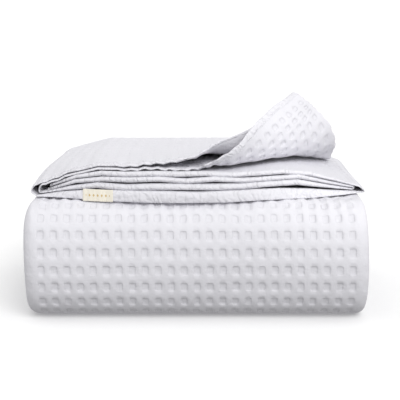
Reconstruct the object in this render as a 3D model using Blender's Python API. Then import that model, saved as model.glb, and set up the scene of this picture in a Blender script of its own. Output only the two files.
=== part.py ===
"""Waffle weave cotton blanket, folded and resting on a surface: one sheet of cloth and its woven label.

The sheet is first folded across its width into a strip of six layers, L6 at the bottom to L1 on top, and
the strip is then folded back and forth from front to back. Its last pass lies on top of the block with its
hems to the front, and the front right corner of its two top layers is turned up.
Metres, +Z up, the front of the block faces -Y. The origin is the middle of the footprint, on the surface.
"""

import math
from typing import NamedTuple

import bmesh
import bpy
import numpy as np

# The cloth
CLOTH = 0.0021  # thickness of the sheet
LAYER_ROOM = 0.0031  # least height that one layer takes, its own thickness and a little air
WHITE = (0.90, 0.90, 0.92, 1.0)
CREAM = (0.90, 0.86, 0.74, 1.0)

# Heights of the strip's passes, each six layers thick
BOTTOM_PASS = 0.033
MIDDLE_PASS = 0.028
TOP_PASS = 0.042
UPPER_PASS = 0.0455
HEM_HEIGHT = 0.0420  # of the upper pass at its hems
PASS_AIR = 0.0052  # between two passes inside the block
UPPER_AIR = 0.0014  # between the block and the pass that lies on it
BLOCK_HEIGHT = BOTTOM_PASS + 2 * MIDDLE_PASS + TOP_PASS + 3 * PASS_AIR

# The strip's side view, y measured from the foremost line of the block
FRONT_CORNER = 0.050  # radius of its foot and shoulder
FRONT_CORNER_TURN = 70.0
FRONT_RISE = BLOCK_HEIGHT - CLOTH - 2 * FRONT_CORNER * (1 - math.cos(math.radians(FRONT_CORNER_TURN)))
FRONT_BELLY = FRONT_RISE / 2 / math.cos(math.radians(FRONT_CORNER_TURN))  # radius between them
FRONT_DEPTH = FRONT_CORNER * math.sin(math.radians(FRONT_CORNER_TURN)) + FRONT_BELLY * (
    1 - math.sin(math.radians(FRONT_CORNER_TURN))
)
INNER_FRONT = 0.0735
BACK_LOW = 0.297
BACK_TOP = 0.288
INNER_END = 0.316
HEM_FRONT = 0.030
UPPER_LENGTH = BACK_TOP - HEM_FRONT
UPPER_FRONT = 0.060  # last part of the upper pass, with closer mesh lines
TIGHT_BEND = (PASS_AIR + CLOTH) / 2
BACK_BEND = (BOTTOM_PASS + PASS_AIR + MIDDLE_PASS - CLOTH) / 2
UPPER_BEND = (UPPER_AIR + CLOTH) / 2

# The strip's ends, left and right, where its height tapers
TAPER = 0.085
TAPER_POWER = 0.8
BACK_NARROWING = 0.064  # share by which the left half narrows where the upper pass bends up at the back

# The hems of the upper pass
HEM_ZONE = 0.45  # last part of the pass over which its hems move from their straight line
HEM_MIDDLE = -0.020  # x of the foremost point of each hem
CORNER_FALL = 0.013  # how far the two top layers' hems fall back at their turned-up corner
CORNER_FALL_FROM, CORNER_FALL_TO = 0.080, 0.200  # x over which they do

# The turned-up corner of the two top layers
CONTACT_X = -0.036
CONTACT_Y = 0.034
CONTACT_ANGLE = math.radians(40.5)
CURL_RADIUS = 0.035
CURL_ANGLE = math.radians(115.0)
LEAN_RADIUS = 0.07
POCKET = 0.024  # widest opening between the two layers
POCKET_LEFT, POCKET_RIGHT = -0.140, 0.170
POCKET_SKEW = 1.8
POCKET_DEPTH = 0.11

# The label
LABEL_X = -0.121
LABEL_WIDTH = 0.0385
LABEL_HEIGHT = 0.0150
LABEL_THICK = 0.0009
LABEL_BOTTOM = 0.1467
LABEL_CLEAR = 0.0004


class Run(NamedTuple):
    """One layer of the strip, in the order in which the cloth passes through them."""

    layer: int  # 0 is L6, 5 is L1
    reach: float  # x where its turn into the next layer ends, inside the block
    hem_reach: float  # the same at the hems of the upper pass
    turn: float  # how far that turn bulges sideways
    hem_turn: float
    lines: tuple  # x of the mesh lines across the layer, at the hems
    turn_lines: int  # divisions of its turn


PLAIN_LINES = (-0.148, -0.124, -0.040, 0.050, 0.131, 0.155)
FLAT_LINES = (-0.124, -0.082, -0.040, 0.000, 0.040, 0.085, 0.131)
PAIR_LINES = (-0.146, -0.124, -0.050, -0.010, 0.022, 0.046, 0.070, 0.095, 0.120, 0.144, 0.163, 0.182)
RUN_START, RUN_HEM_START = -0.176, -0.184
RUNS = (
    Run(3, 0.2123, 0.2163, 0.012, 0.007, PLAIN_LINES, 4),
    Run(0, -0.2105, -0.209, 0.015, 0.008, FLAT_LINES, 4),
    Run(5, 0.188, 0.203, 0.004, 0.004, PAIR_LINES, 4),
    Run(4, -0.190, -0.199, 0.008, 0.004, PAIR_LINES, 4),
    Run(1, 0.182, 0.203, 0.003, 0.003, PLAIN_LINES, 3),
    Run(2, -0.172, -0.187, 0.0, 0.0, PLAIN_LINES, 0),
)


class Leg(NamedTuple):
    """One stretch of the strip's side view, from the end hidden inside to the hems in front."""

    length: float  # of a straight leg
    radius: float  # of a bend, at layer L6
    turn: float  # of a bend in degrees, anticlockwise seen from +X
    height: float  # of the six layers at the leg's end
    pinch: float  # how far the strip's two ends are pressed flat at the leg's end
    lines: int  # divisions along the leg


LEG_START = (INNER_END, BOTTOM_PASS + MIDDLE_PASS + 2 * PASS_AIR + CLOTH / 2)
LEG_START_HEIGHT, LEG_START_PINCH = MIDDLE_PASS, 0.30
LEGS = (
    Leg(INNER_END - INNER_FRONT, 0.0, 0, MIDDLE_PASS, 0.30, 1),
    Leg(0.0, TIGHT_BEND, 180, MIDDLE_PASS, 0.30, 4),
    Leg(BACK_LOW - INNER_FRONT, 0.0, 0, MIDDLE_PASS, 0.30, 1),
    Leg(0.0, BACK_BEND, -180, BOTTOM_PASS, 0.30, 5),
    Leg(BACK_LOW - FRONT_DEPTH, 0.0, 0, BOTTOM_PASS, 0.20, 1),
    Leg(0.0, FRONT_CORNER, -FRONT_CORNER_TURN, 0.036, 0.15, 3),
    Leg(0.0, FRONT_BELLY, 2 * FRONT_CORNER_TURN - 180, 0.039, 0.15, 2),
    Leg(0.0, FRONT_CORNER, -FRONT_CORNER_TURN, TOP_PASS, 0.20, 5),
    Leg(BACK_TOP - FRONT_DEPTH, 0.0, 0, TOP_PASS, 0.35, 2),
    Leg(0.0, UPPER_BEND, 180, UPPER_PASS, 0.58, 6),
    Leg(UPPER_LENGTH - UPPER_FRONT, 0.0, 0, 0.0430, 0.66, 7),
    Leg(UPPER_FRONT, 0.0, 0, HEM_HEIGHT, 0.72, 4),
)


class Hem(NamedTuple):
    """One layer's hem at the front of the upper pass, L6 first."""

    share: float  # of the height that the layers' least heights leave over
    set_back: float  # behind the hem of L6
    bow: float  # how it falls back on both sides, in metres for each square metre from its middle
    droop: float  # how far it sinks with the block's shoulder


HEMS = (
    Hem(0.00, 0.000, 1.0, 0.4),
    Hem(0.55, 0.005, 1.0, 0.6),
    Hem(0.75, 0.008, 0.9, 0.6),
    Hem(0.88, 0.012, 0.8, 0.5),
    Hem(0.97, 0.019, 0.5, 0.3),
    Hem(1.00, 0.023, 0.5, 0.2),
)
HEM_TABLE = np.array(HEMS)
EVEN_SHARES = np.linspace(0.0, 1.0, len(HEMS))


def ease(value):
    """Rises smoothly from 0 to 1 while the value does."""
    value = np.clip(value, 0.0, 1.0)
    return value * value * (3.0 - 2.0 * value)


def section_tables():
    """For each run and turn across the width: its two layers, and its x at both ends in block and hem."""
    rows = []
    start, hem_start = RUN_START, RUN_HEM_START
    for index, run in enumerate(RUNS):
        side = math.copysign(1.0, run.reach)
        end = run.reach - side * run.turn
        hem_end = run.hem_reach - side * run.hem_turn
        rows.append((run.layer, run.layer, start, end, hem_start, hem_end, 0.0, 0.0))
        if index + 1 < len(RUNS):
            after = RUNS[index + 1].layer
            bulges = (side * run.turn, side * run.hem_turn)
            rows.append((run.layer, after, end, end, hem_end, hem_end, *bulges))
        start, hem_start = end, hem_end
    return np.array(rows)


def leg_tables():
    """For each leg of the side view: its start, heading, length, radius and signed turning angle."""
    rows = []
    y, z = LEG_START
    heading = math.pi
    for leg in LEGS:
        angle = math.radians(leg.turn)
        rows.append((y, z, heading, leg.length, leg.radius, angle))
        if leg.turn:
            signed = math.copysign(leg.radius, angle)
            y += signed * (math.sin(heading + angle) - math.sin(heading))
            z += signed * (math.cos(heading) - math.cos(heading + angle))
        else:
            y += leg.length * math.cos(heading)
            z += leg.length * math.sin(heading)
        heading += angle
    return np.array(rows)


SECTION = section_tables()
SIDE_VIEW = leg_tables()
PAIR_FIRST, PAIR_LAST = 4, 6  # rows of SECTION that hold the two top layers and the turn between them


def along_side_view(v):
    """Point and heading of layer L6 at path parameter v, where leg n runs from n to n + 1."""
    leg = np.clip(np.floor(v).astype(int), 0, len(LEGS) - 1)
    part = v - leg
    y, z, heading, length, radius, angle = (SIDE_VIEW[leg, column] for column in range(6))
    turned = heading + part * angle
    signed = np.copysign(radius, angle)
    y = y + part * length * np.cos(heading) + signed * (np.sin(turned) - np.sin(heading))
    z = z + part * length * np.sin(heading) + signed * (np.cos(heading) - np.cos(turned))
    return y, z, turned


def upper_share(v):
    """How far path parameter v lies along the upper pass: 0 before it, 1 at its hems."""
    last = len(LEGS)
    front = UPPER_FRONT / UPPER_LENGTH
    return np.interp(v, (last - 2, last - 1, last, last + 1), (0.0, 1.0 - front, 1.0, 1.0 + front))


def fold_surface(u, v):
    """Middle of the cloth at (u, v), where u counts runs and turns across the width and v counts legs."""
    row = np.clip(np.floor(u).astype(int), 0, len(SECTION) - 1)
    part = u - row
    first, second, x0, x1, hem_x0, hem_x1, bulge, hem_bulge = (SECTION[row, c] for c in range(8))
    in_pair = (row >= PAIR_FIRST) & (row <= PAIR_LAST)
    upper = upper_share(v)
    swing = (part - 0.5) * math.pi
    is_turn = first != second
    x_block = np.where(is_turn, x1 + bulge * np.cos(swing), x0 + part * (x1 - x0))
    x_hem = np.where(is_turn, hem_x1 + hem_bulge * np.cos(swing), hem_x0 + part * (hem_x1 - hem_x0))
    x = x_block + (x_hem - x_block) * upper
    at_back = ease((v - 8.6) / 0.8) * (1.0 - ease((v - 9.9) / 0.9))
    x = x - np.minimum(x, 0.0) * BACK_NARROWING * at_back

    y, z, heading = along_side_view(v)
    behind = distance_from_contact(x, y)
    lifted = in_pair * ease(behind / 0.02 + 0.5) * (upper > 0.0)
    height, first_up, second_up = layer_heights(x, v, upper, lifted, first, second)
    rise = np.where(is_turn, 0.5 + 0.5 * np.sin(swing), 0.0)
    above = first_up + rise * (second_up - first_up)

    hem = ease((upper - 1.0 + HEM_ZONE) / HEM_ZONE)
    row_hem = HEM_TABLE[first.astype(int)].T * (1.0 - rise.T) + HEM_TABLE[second.astype(int)].T * rise.T
    _, set_back, bow, droop_share = (column.T for column in row_hem)
    corner = in_pair * ease((x - CORNER_FALL_FROM) / (CORNER_FALL_TO - CORNER_FALL_FROM))
    shift = hem * (set_back + bow * (x - HEM_MIDDLE) ** 2 + CORNER_FALL * corner)
    over = np.clip(FRONT_DEPTH - y - shift, 0.0, 0.8 * FRONT_CORNER) * (upper > 0.0)
    droop = droop_share * (FRONT_CORNER - np.sqrt(FRONT_CORNER**2 - over**2))

    y = y + above * np.sin(heading) + shift
    z = z - above * np.cos(heading) - droop
    pair_middle = np.where(in_pair, pair_height(x, v, upper, lifted), above)
    return turned_up(x, y, z, above - pair_middle, in_pair & (upper > 0.0), row == PAIR_FIRST)


def layer_heights(x, v, upper, lifted, first, second):
    """Height of the whole strip at (x, v), and of the two given layers in it."""
    legs = np.arange(len(LEGS) + 1)
    full = np.interp(v, legs, (LEG_START_HEIGHT, *(leg.height for leg in LEGS)))
    pinch = np.interp(v, legs, (LEG_START_PINCH, *(leg.pinch for leg in LEGS))) * (1.0 - lifted)
    left = RUNS[1].reach + (RUNS[1].hem_reach - RUNS[1].reach) * upper
    right = RUNS[0].reach + (RUNS[0].hem_reach - RUNS[0].reach) * upper
    to_tip = np.where(x < 0.0, x - left, right - x)
    taper = np.clip(to_tip / TAPER, 0.0, 1.0) ** TAPER_POWER
    height = full * (1.0 - pinch * (1.0 - taper))
    spare = height - CLOTH - 5 * LAYER_ROOM
    heights = []
    for layer in (first.astype(int), second.astype(int)):
        share = EVEN_SHARES[layer] * (1.0 - upper) + HEM_TABLE[layer, 0] * upper
        heights.append(layer * LAYER_ROOM + share * spare)
    return height, *heights


def pair_height(x, v, upper, lifted):
    """Height of the middle between the two top layers."""
    top = np.full(np.shape(x), 5.0)
    _, high, low = layer_heights(x, v, upper, lifted, top, top - 1.0)
    return (high + low) / 2


def distance_from_contact(x, y):
    """Distance on the plan from the line where the two top layers leave the stack, positive where they lift."""
    return (x - CONTACT_X) * math.sin(CONTACT_ANGLE) - (y - CONTACT_Y) * math.cos(CONTACT_ANGLE)


def turned_up(x, y, z, offset, in_pair, is_top):
    """Bends the pair up past its contact line without stretching it: a tight curl, then a slow lean back."""
    distance = distance_from_contact(x, y)
    curl_length = CURL_RADIUS * CURL_ANGLE
    curled = np.clip(distance, 0.0, curl_length) / CURL_RADIUS
    beyond = np.maximum(distance - curl_length, 0.0) / LEAN_RADIUS
    angle = curled + beyond
    out = CURL_RADIUS * np.sin(curled)
    up = CURL_RADIUS * (1.0 - np.cos(curled))
    out = out + LEAN_RADIUS * (np.sin(angle) - np.sin(curled)) * (beyond > 0.0)
    up = up + LEAN_RADIUS * (np.cos(curled) - np.cos(angle)) * (beyond > 0.0)
    out = np.where(distance > 0.0, out, distance)
    moved = in_pair & (distance > -0.2)

    across = (x - POCKET_LEFT) / (POCKET_RIGHT - POCKET_LEFT)
    open_here = np.sin(np.pi * np.clip(across, 0.0, 1.0) ** POCKET_SKEW) ** 2
    near_hem = ease(1.0 - (y - HEM_FRONT - 0.02) / POCKET_DEPTH)
    offset = offset + POCKET * open_here * near_hem * is_top * in_pair
    z = z + POCKET * open_here * near_hem * is_top * in_pair

    shift = out - distance - offset * np.sin(angle)
    rise = up + offset * (np.cos(angle) - 1.0)
    new_x = x + moved * shift * math.sin(CONTACT_ANGLE)
    new_y = y - moved * shift * math.cos(CONTACT_ANGLE)
    new_z = z + moved * rise
    return np.stack((new_x, new_y, new_z), axis=-1)


def width_lines():
    """Parameters u of the mesh lines across the width: each layer's own lines and even ones in its turn."""
    lines = []
    for row, (first, second, _, _, hem_x0, hem_x1, _, _) in enumerate(SECTION):
        if first == second:
            run = RUNS[row // 2]
            shares = sorted((x - hem_x0) / (hem_x1 - hem_x0) for x in run.lines)
            lines += [row, *(row + share for share in shares if 0.02 < share < 0.98)]
        else:
            lines += np.linspace(row, row + 1, RUNS[row // 2].turn_lines, endpoint=False).tolist()
    return np.array([*lines, len(SECTION)])


def length_lines(divisions):
    """Parameters v of the mesh lines, where leg n runs from n to n + 1 in the given number of divisions."""
    lines = [np.linspace(n, n + 1, count, endpoint=False) for n, count in enumerate(divisions)]
    return np.append(np.concatenate(lines), len(divisions))


def grid_triangles(u, v):
    """Triangles over the grid of parameters u and v, each cell cut along the diagonal that lies on the cloth."""
    rows, columns = len(u), len(v)
    index = np.arange(rows * columns).reshape(rows, columns)
    corners = (index[:-1, :-1], index[1:, :-1], index[1:, 1:], index[:-1, 1:])
    points = fold_surface(*np.meshgrid(u, v, indexing="ij")).reshape(-1, 3)
    centres = fold_surface(*np.meshgrid((u[1:] + u[:-1]) / 2, (v[1:] + v[:-1]) / 2, indexing="ij"))
    off = [
        np.linalg.norm((points[corners[a]] + points[corners[a + 2]]) / 2 - centres, axis=-1)
        for a in (0, 1)
    ]
    a, b, c, d = (corner.ravel() for corner in corners)
    first_cut = (off[0] <= off[1]).ravel()[:, None]
    one = np.where(first_cut, np.stack((a, b, c), axis=-1), np.stack((a, b, d), axis=-1))
    two = np.where(first_cut, np.stack((a, c, d), axis=-1), np.stack((b, c, d), axis=-1))
    return np.concatenate((one, two))


def cloth_sides(u, v, thickness):
    """The two faces of the cloth over the grid of parameters u and v: its outer and its inner side."""
    u, v = np.meshgrid(u, v, indexing="ij")
    step = 1e-4
    middle = fold_surface(u, v)
    across = fold_surface(u + step, v) - fold_surface(u - step, v)
    along = fold_surface(u, v + step) - fold_surface(u, v - step)
    normal = np.cross(across, along)
    normal /= np.linalg.norm(normal, axis=-1, keepdims=True)
    return middle - normal * thickness / 2, middle + normal * thickness / 2


def closed_sheet(u, v, thickness):
    """Vertices and faces of the closed sheet over the grid of parameters u and v."""
    outer, inner = cloth_sides(u, v, thickness)
    rows, columns = len(u), len(v)
    index = np.arange(rows * columns).reshape(rows, columns)
    rim = np.concatenate((index[:-1, 0], index[-1, :-1], index[:0:-1, -1], index[0, :0:-1]))
    after = np.roll(rim, -1)
    count = rows * columns
    walls = np.stack((rim, after, after + count, rim + count), axis=-1)
    triangles = grid_triangles(u, v)
    points = np.concatenate((outer.reshape(-1, 3), inner.reshape(-1, 3)))
    return points, [*triangles[:, ::-1].tolist(), *(triangles + count).tolist(), *walls.tolist()]


def new_material(name, colour, roughness):
    """A plain Principled material."""
    material = bpy.data.materials.new(name)
    material.use_nodes = True
    shader = material.node_tree.nodes["Principled BSDF"]
    shader.inputs["Base Color"].default_value = colour
    shader.inputs["Roughness"].default_value = roughness
    shader.inputs["Metallic"].default_value = 0.0
    return material


def add_blanket():
    """The folded sheet of waffle weave cotton, hems included."""
    v = length_lines([leg.lines for leg in LEGS])
    points, faces = closed_sheet(width_lines(), v, CLOTH)
    mesh = bpy.data.meshes.new("blanket")
    mesh.from_pydata(points.tolist(), [], faces)
    blanket = bpy.data.objects.new("blanket", mesh)
    bpy.context.collection.objects.link(blanket)
    blanket.data.materials.append(new_material("blanket", WHITE, 0.9))
    mesh.shade_smooth()
    mesh.set_sharp_from_angle(angle=math.radians(40.0))
    return blanket


def add_label():
    """The woven label sewn to the front hem of the lowest layer of the upper pass."""
    from_middle = LABEL_X - HEM_MIDDLE
    hem_y = HEM_FRONT + HEMS[0].bow * from_middle**2
    slope = math.atan(2 * HEMS[0].bow * from_middle)
    shape = bmesh.new()
    bmesh.ops.create_cube(shape, size=1.0)
    bmesh.ops.scale(shape, vec=(LABEL_WIDTH, LABEL_THICK, LABEL_HEIGHT), verts=shape.verts)
    bmesh.ops.bevel(
        shape, geom=shape.edges[:], offset=LABEL_THICK * 0.3, segments=1, affect="EDGES"
    )
    mesh = bpy.data.meshes.new("label")
    shape.to_mesh(mesh)
    shape.free()
    label = bpy.data.objects.new("label", mesh)
    bpy.context.collection.objects.link(label)
    bow = HEMS[0].bow * (LABEL_WIDTH / 2) ** 2
    label.location = (
        LABEL_X,
        hem_y - LABEL_CLEAR - bow - LABEL_THICK,
        LABEL_BOTTOM + LABEL_HEIGHT / 2,
    )
    label.rotation_euler = (0.0, 0.0, slope)
    label.data.materials.append(new_material("label", CREAM, 0.7))
    return label


def clear_scene():
    """Removes every object that the scene starts with."""
    for item in list(bpy.data.objects):
        bpy.data.objects.remove(item, do_unlink=True)


def centre_on_footprint(blanket, label):
    """Moves both pieces so that the origin is the middle of the blanket's footprint, at its underside."""
    corners = np.array([vertex.co for vertex in blanket.data.vertices])
    low, high = corners.min(axis=0), corners.max(axis=0)
    middle = ((low[0] + high[0]) / 2, (low[1] + high[1]) / 2, low[2])
    for vertex in blanket.data.vertices:
        vertex.co.x -= middle[0]
        vertex.co.y -= middle[1]
        vertex.co.z -= middle[2]
    label.location.x -= middle[0]
    label.location.y -= middle[1]
    label.location.z -= middle[2]


def main():
    """Builds the folded blanket and its label."""
    clear_scene()
    blanket = add_blanket()
    label = add_label()
    centre_on_footprint(blanket, label)


if __name__ == "__main__":
    main()
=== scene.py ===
"""Looks of a waffle weave cotton blanket, folded back and forth with its top corner turned up.

The cloth is one sheet. A point of it is named by two parameters: u counts the layers and the turns between
them across the width, and v counts the legs of the side view from the hidden end to the hems in front.
"""

from __future__ import annotations

import logging
import math
from dataclasses import dataclass, field
from enum import Enum

import bpy
import numpy as np
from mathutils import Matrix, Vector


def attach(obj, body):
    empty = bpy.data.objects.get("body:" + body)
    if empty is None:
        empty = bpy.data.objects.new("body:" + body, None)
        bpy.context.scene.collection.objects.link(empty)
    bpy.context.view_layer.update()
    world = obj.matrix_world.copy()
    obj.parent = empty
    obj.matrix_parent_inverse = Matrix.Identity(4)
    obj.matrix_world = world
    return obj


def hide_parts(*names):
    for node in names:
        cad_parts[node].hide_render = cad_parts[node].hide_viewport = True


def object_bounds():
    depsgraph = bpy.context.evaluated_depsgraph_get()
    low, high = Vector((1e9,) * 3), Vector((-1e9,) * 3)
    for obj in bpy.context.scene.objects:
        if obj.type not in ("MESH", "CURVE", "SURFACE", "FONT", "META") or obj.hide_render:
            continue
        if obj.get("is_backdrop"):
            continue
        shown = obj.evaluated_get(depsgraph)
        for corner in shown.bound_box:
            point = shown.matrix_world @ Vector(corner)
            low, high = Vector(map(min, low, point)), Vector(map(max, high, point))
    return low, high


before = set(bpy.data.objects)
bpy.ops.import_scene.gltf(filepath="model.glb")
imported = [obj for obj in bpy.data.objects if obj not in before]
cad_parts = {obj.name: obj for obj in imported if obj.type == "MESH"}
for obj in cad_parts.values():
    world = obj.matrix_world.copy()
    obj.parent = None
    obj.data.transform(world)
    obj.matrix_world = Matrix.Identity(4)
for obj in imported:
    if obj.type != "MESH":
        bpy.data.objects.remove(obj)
CAD_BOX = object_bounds()

Array = np.ndarray
LOG = logging.getLogger("blanket")
CLOTH_UV = "cloth"
BUMP_SHARE = "bump_share"
CELL_SHARE = "cell_share"
SLOPE_STEP = 1e-4  # step in u and v over which slopes are taken
FOOTPRINT_MIDDLE = (0.0029, 0.1657, 0.0)  # middle of the footprint, in the fold's own coordinates


def smooth(value: Array, low: float = 0.0, high: float = 1.0) -> Array:
    """Rises smoothly from 0 to 1 while value goes from low to high: 3x^2 - 2x^3 of its share of the way."""
    share = np.clip((value - low) / (high - low), 0.0, 1.0)
    return share * share * (3.0 - 2.0 * share)


class Side(Enum):
    """The two faces of the cloth."""

    OUTER = -1.0
    INNER = 1.0


@dataclass(frozen=True)
class Run:
    """One layer of the folded strip, in the order in which the cloth passes through them.

    Args:
        layer: 0 for the lowest layer of the upper pass, 5 for its top one.
        reach: x where its turn into the next layer ends, in the block.
        hem_reach: The same at the hems.
        turn: How far that turn bulges sideways, in the block.
        hem_turn: The same at the hems.
    """

    layer: int
    reach: float
    hem_reach: float
    turn: float
    hem_turn: float


@dataclass(frozen=True)
class Leg:
    """One stretch of the strip's side view.

    Args:
        length: Length of a straight leg.
        radius: Radius of a bend, at the lowest layer.
        turn: Angle of a bend in degrees.
        height: Height of the six layers at its end.
        pinch: How far the strip's two ends are pressed flat at its end.
        spacing: Distance between the mesh lines along it.
        outer_offset: How far the layer that shows lies outside the lowest one, in a bend.
    """

    length: float
    radius: float
    turn: float
    height: float
    pinch: float
    spacing: float
    outer_offset: float = 0.0

    @property
    def cloth_length(self) -> float:
        """Length of cloth in the leg, on the layer that shows."""
        return self.length + (self.radius + self.outer_offset) * abs(math.radians(self.turn))


@dataclass(frozen=True)
class Hem:
    """One layer's hem at the front of the upper pass.

    Args:
        share: Its share of the height that the layers' least heights leave over.
        set_back: How far it stands behind the lowest hem.
        bow: How it falls back on both sides, in metres for each square metre from its middle.
        droop: How far it sinks with the block's shoulder.
        below: How far its fold stands out under the cloth.
        above: How far its fold stands out over the cloth.
    """

    share: float
    set_back: float
    bow: float
    droop: float
    below: float
    above: float


@dataclass
class StripFold:
    """Middle surface of the folded cloth, as a function of u and v.

    Across the width the strip's section holds a straight run for each layer and a half round turn between
    two layers. Along the length a side view of straight legs and arcs carries that section, and the corner
    of the two top layers, the pair, is bent up about a slanting line without being stretched.

    Args:
        cloth: Thickness of the cloth.
        layer_room: Least distance from layer to layer.
        bottom_pass: Height of the six layers in the bottom pass.
        middle_pass: The same in each hidden pass.
        top_pass: The same in the block's top pass.
        upper_pass: The same at the back of the upper pass.
        hem_height: The same at the hems.
        pass_air: Distance between two passes of the block.
        upper_air: Distance between the block and the upper pass.
        front_corner: Radius of the two corners of the big front fold.
        front_corner_turn: Their angle in degrees.
        inner_front: y where the hidden passes turn in front.
        back_low: y where the bottom pass starts at the back.
        back_top: y where the top pass ends at the back.
        inner_end: y of the hidden free end.
        hem_front: y of the lowest hem.
        hem_length: Length of the last leg, which ends at the hems.
        end_pinch: How far the strip's two ends are pressed flat in the hidden passes.
        taper: Distance from a side fold over which the strip thins towards it.
        taper_power: Power of that distance in the thinning.
        hem_zone: Share of the upper pass over which the hems draw apart.
        hem_middle: x where the hems stand furthest forward.
        droop_reach: Share of the front corner's radius over which the hems may sink.
        corner_fall: How far the pair's hems fall back at the turned-up corner.
        corner_fall_from: x where they start to fall back.
        corner_fall_to: x where they have fallen back.
        contact_x: x of a point on the line from which the pair turns up.
        contact_y: y of that point.
        contact_angle: Angle of that line from the x axis.
        contact_blend: Distance from the line over which the pair leaves the stack.
        curl_radius: Radius of the pair's first bend.
        curl_angle: Its angle.
        lean_radius: Radius of the pair's second bend.
        pocket: Height of the pocket between the pair's two layers.
        pocket_left: x where the pocket starts.
        pocket_right: x where it ends.
        pocket_skew: Power that moves its highest place to the right.
        pocket_front: How far behind the lowest hem it starts to close.
        pocket_depth: Length over which it closes.
        run_start: x where the first run starts, in the block.
        run_hem_start: The same at the hems.
        back_narrowing: Share by which the left half narrows at the upper fold at the back.
        narrow_at: v where that narrowing starts, is whole, starts to go and has gone.
        runs: The layers, in the order in which the cloth passes through them.
        hems: The hems, from the lowest to the top one.
    """

    cloth: float = 0.0021
    layer_room: float = 0.0031
    bottom_pass: float = 0.033
    middle_pass: float = 0.028
    top_pass: float = 0.042
    upper_pass: float = 0.0455
    hem_height: float = 0.0420
    pass_air: float = 0.0052
    upper_air: float = 0.0014
    front_corner: float = 0.050
    front_corner_turn: float = 70.0
    inner_front: float = 0.0735
    back_low: float = 0.297
    back_top: float = 0.288
    inner_end: float = 0.316
    hem_front: float = 0.030
    hem_length: float = 0.060
    end_pinch: float = 0.30
    taper: float = 0.085
    taper_power: float = 0.8
    hem_zone: float = 0.45
    hem_middle: float = -0.020
    droop_reach: float = 0.8
    corner_fall: float = 0.013
    corner_fall_from: float = 0.080
    corner_fall_to: float = 0.200
    contact_x: float = -0.036
    contact_y: float = 0.034
    contact_angle: float = math.radians(40.5)
    contact_blend: float = 0.01
    curl_radius: float = 0.035
    curl_angle: float = math.radians(115.0)
    lean_radius: float = 0.07
    pocket: float = 0.024
    pocket_left: float = -0.140
    pocket_right: float = 0.170
    pocket_skew: float = 1.8
    pocket_front: float = 0.02
    pocket_depth: float = 0.11
    run_start: float = -0.176
    run_hem_start: float = -0.184
    back_narrowing: float = 0.064
    narrow_at: tuple[float, ...] = (8.6, 9.4, 9.9, 10.8)
    runs: tuple[Run, ...] = (
        Run(3, 0.2123, 0.2163, 0.012, 0.007),
        Run(0, -0.2105, -0.209, 0.015, 0.008),
        Run(5, 0.188, 0.203, 0.004, 0.004),
        Run(4, -0.190, -0.199, 0.008, 0.004),
        Run(1, 0.182, 0.203, 0.003, 0.003),
        Run(2, -0.172, -0.187, 0.0, 0.0),
    )
    hems: tuple[Hem, ...] = (
        Hem(0.00, 0.000, 1.0, 0.4, 0.0004, 0.0107),
        Hem(0.55, 0.005, 1.0, 0.6, 0.0026, 0.0028),
        Hem(0.75, 0.008, 0.9, 0.6, 0.0024, 0.0018),
        Hem(0.88, 0.012, 0.8, 0.5, 0.0019, 0.0022),
        Hem(0.97, 0.019, 0.5, 0.3, 0.0004, 0.0004),
        Hem(1.00, 0.023, 0.5, 0.2, 0.0006, 0.0014),
    )
    legs: tuple[Leg, ...] = field(init=False)
    section: Array = field(init=False)
    side_view: Array = field(init=False)
    hem_table: Array = field(init=False)
    front_depth: float = field(init=False)

    def __post_init__(self) -> None:
        """Works out the legs of the side view and the tables that the surface reads."""
        corner, turned = self.front_corner, math.radians(self.front_corner_turn)
        block_height = self.bottom_pass + 2 * self.middle_pass + self.top_pass + 3 * self.pass_air
        rise = block_height - self.cloth - 2 * corner * (1 - math.cos(turned))
        belly = rise / 2 / math.cos(turned)
        self.front_depth = corner * math.sin(turned) + belly * (1 - math.sin(turned))
        tight = (self.pass_air + self.cloth) / 2
        back = (self.bottom_pass + self.pass_air + self.middle_pass - self.cloth) / 2
        upper = (self.upper_air + self.cloth) / 2
        middle, pinch = self.middle_pass, self.end_pinch
        turn = self.front_corner_turn
        upper_length = self.back_top - self.hem_front
        self.legs = (
            Leg(self.inner_end - self.inner_front, 0.0, 0, middle, pinch, 0.06),
            Leg(0.0, tight, 180, middle, pinch, 0.002),
            Leg(self.back_low - self.inner_front, 0.0, 0, middle, pinch, 0.06),
            Leg(0.0, back, -180, self.bottom_pass, pinch, 0.011),
            Leg(self.back_low - self.front_depth, 0.0, 0, self.bottom_pass, 0.20, 0.06),
            Leg(0.0, corner, -turn, 0.036, 0.15, 0.011),
            Leg(0.0, belly, 2 * turn - 180, 0.039, 0.15, 0.011),
            Leg(0.0, corner, -turn, self.top_pass, 0.20, 0.009),
            Leg(self.back_top - self.front_depth, 0.0, 0, self.top_pass, 0.35, 0.03),
            Leg(0.0, upper, 180, self.upper_pass, 0.58, 0.011, self.upper_pass - self.cloth),
            Leg(upper_length - self.hem_length, 0.0, 0, 0.0430, 0.66, 0.0108),
            Leg(self.hem_length, 0.0, 0, self.hem_height, 0.72, 0.0108),
        )
        self.section = self._section_rows()
        self.side_view = self._leg_rows()
        self.hem_table = np.array(
            [(hem.share, hem.set_back, hem.bow, hem.droop, hem.below, hem.above) for hem in self.hems]
        )

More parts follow.
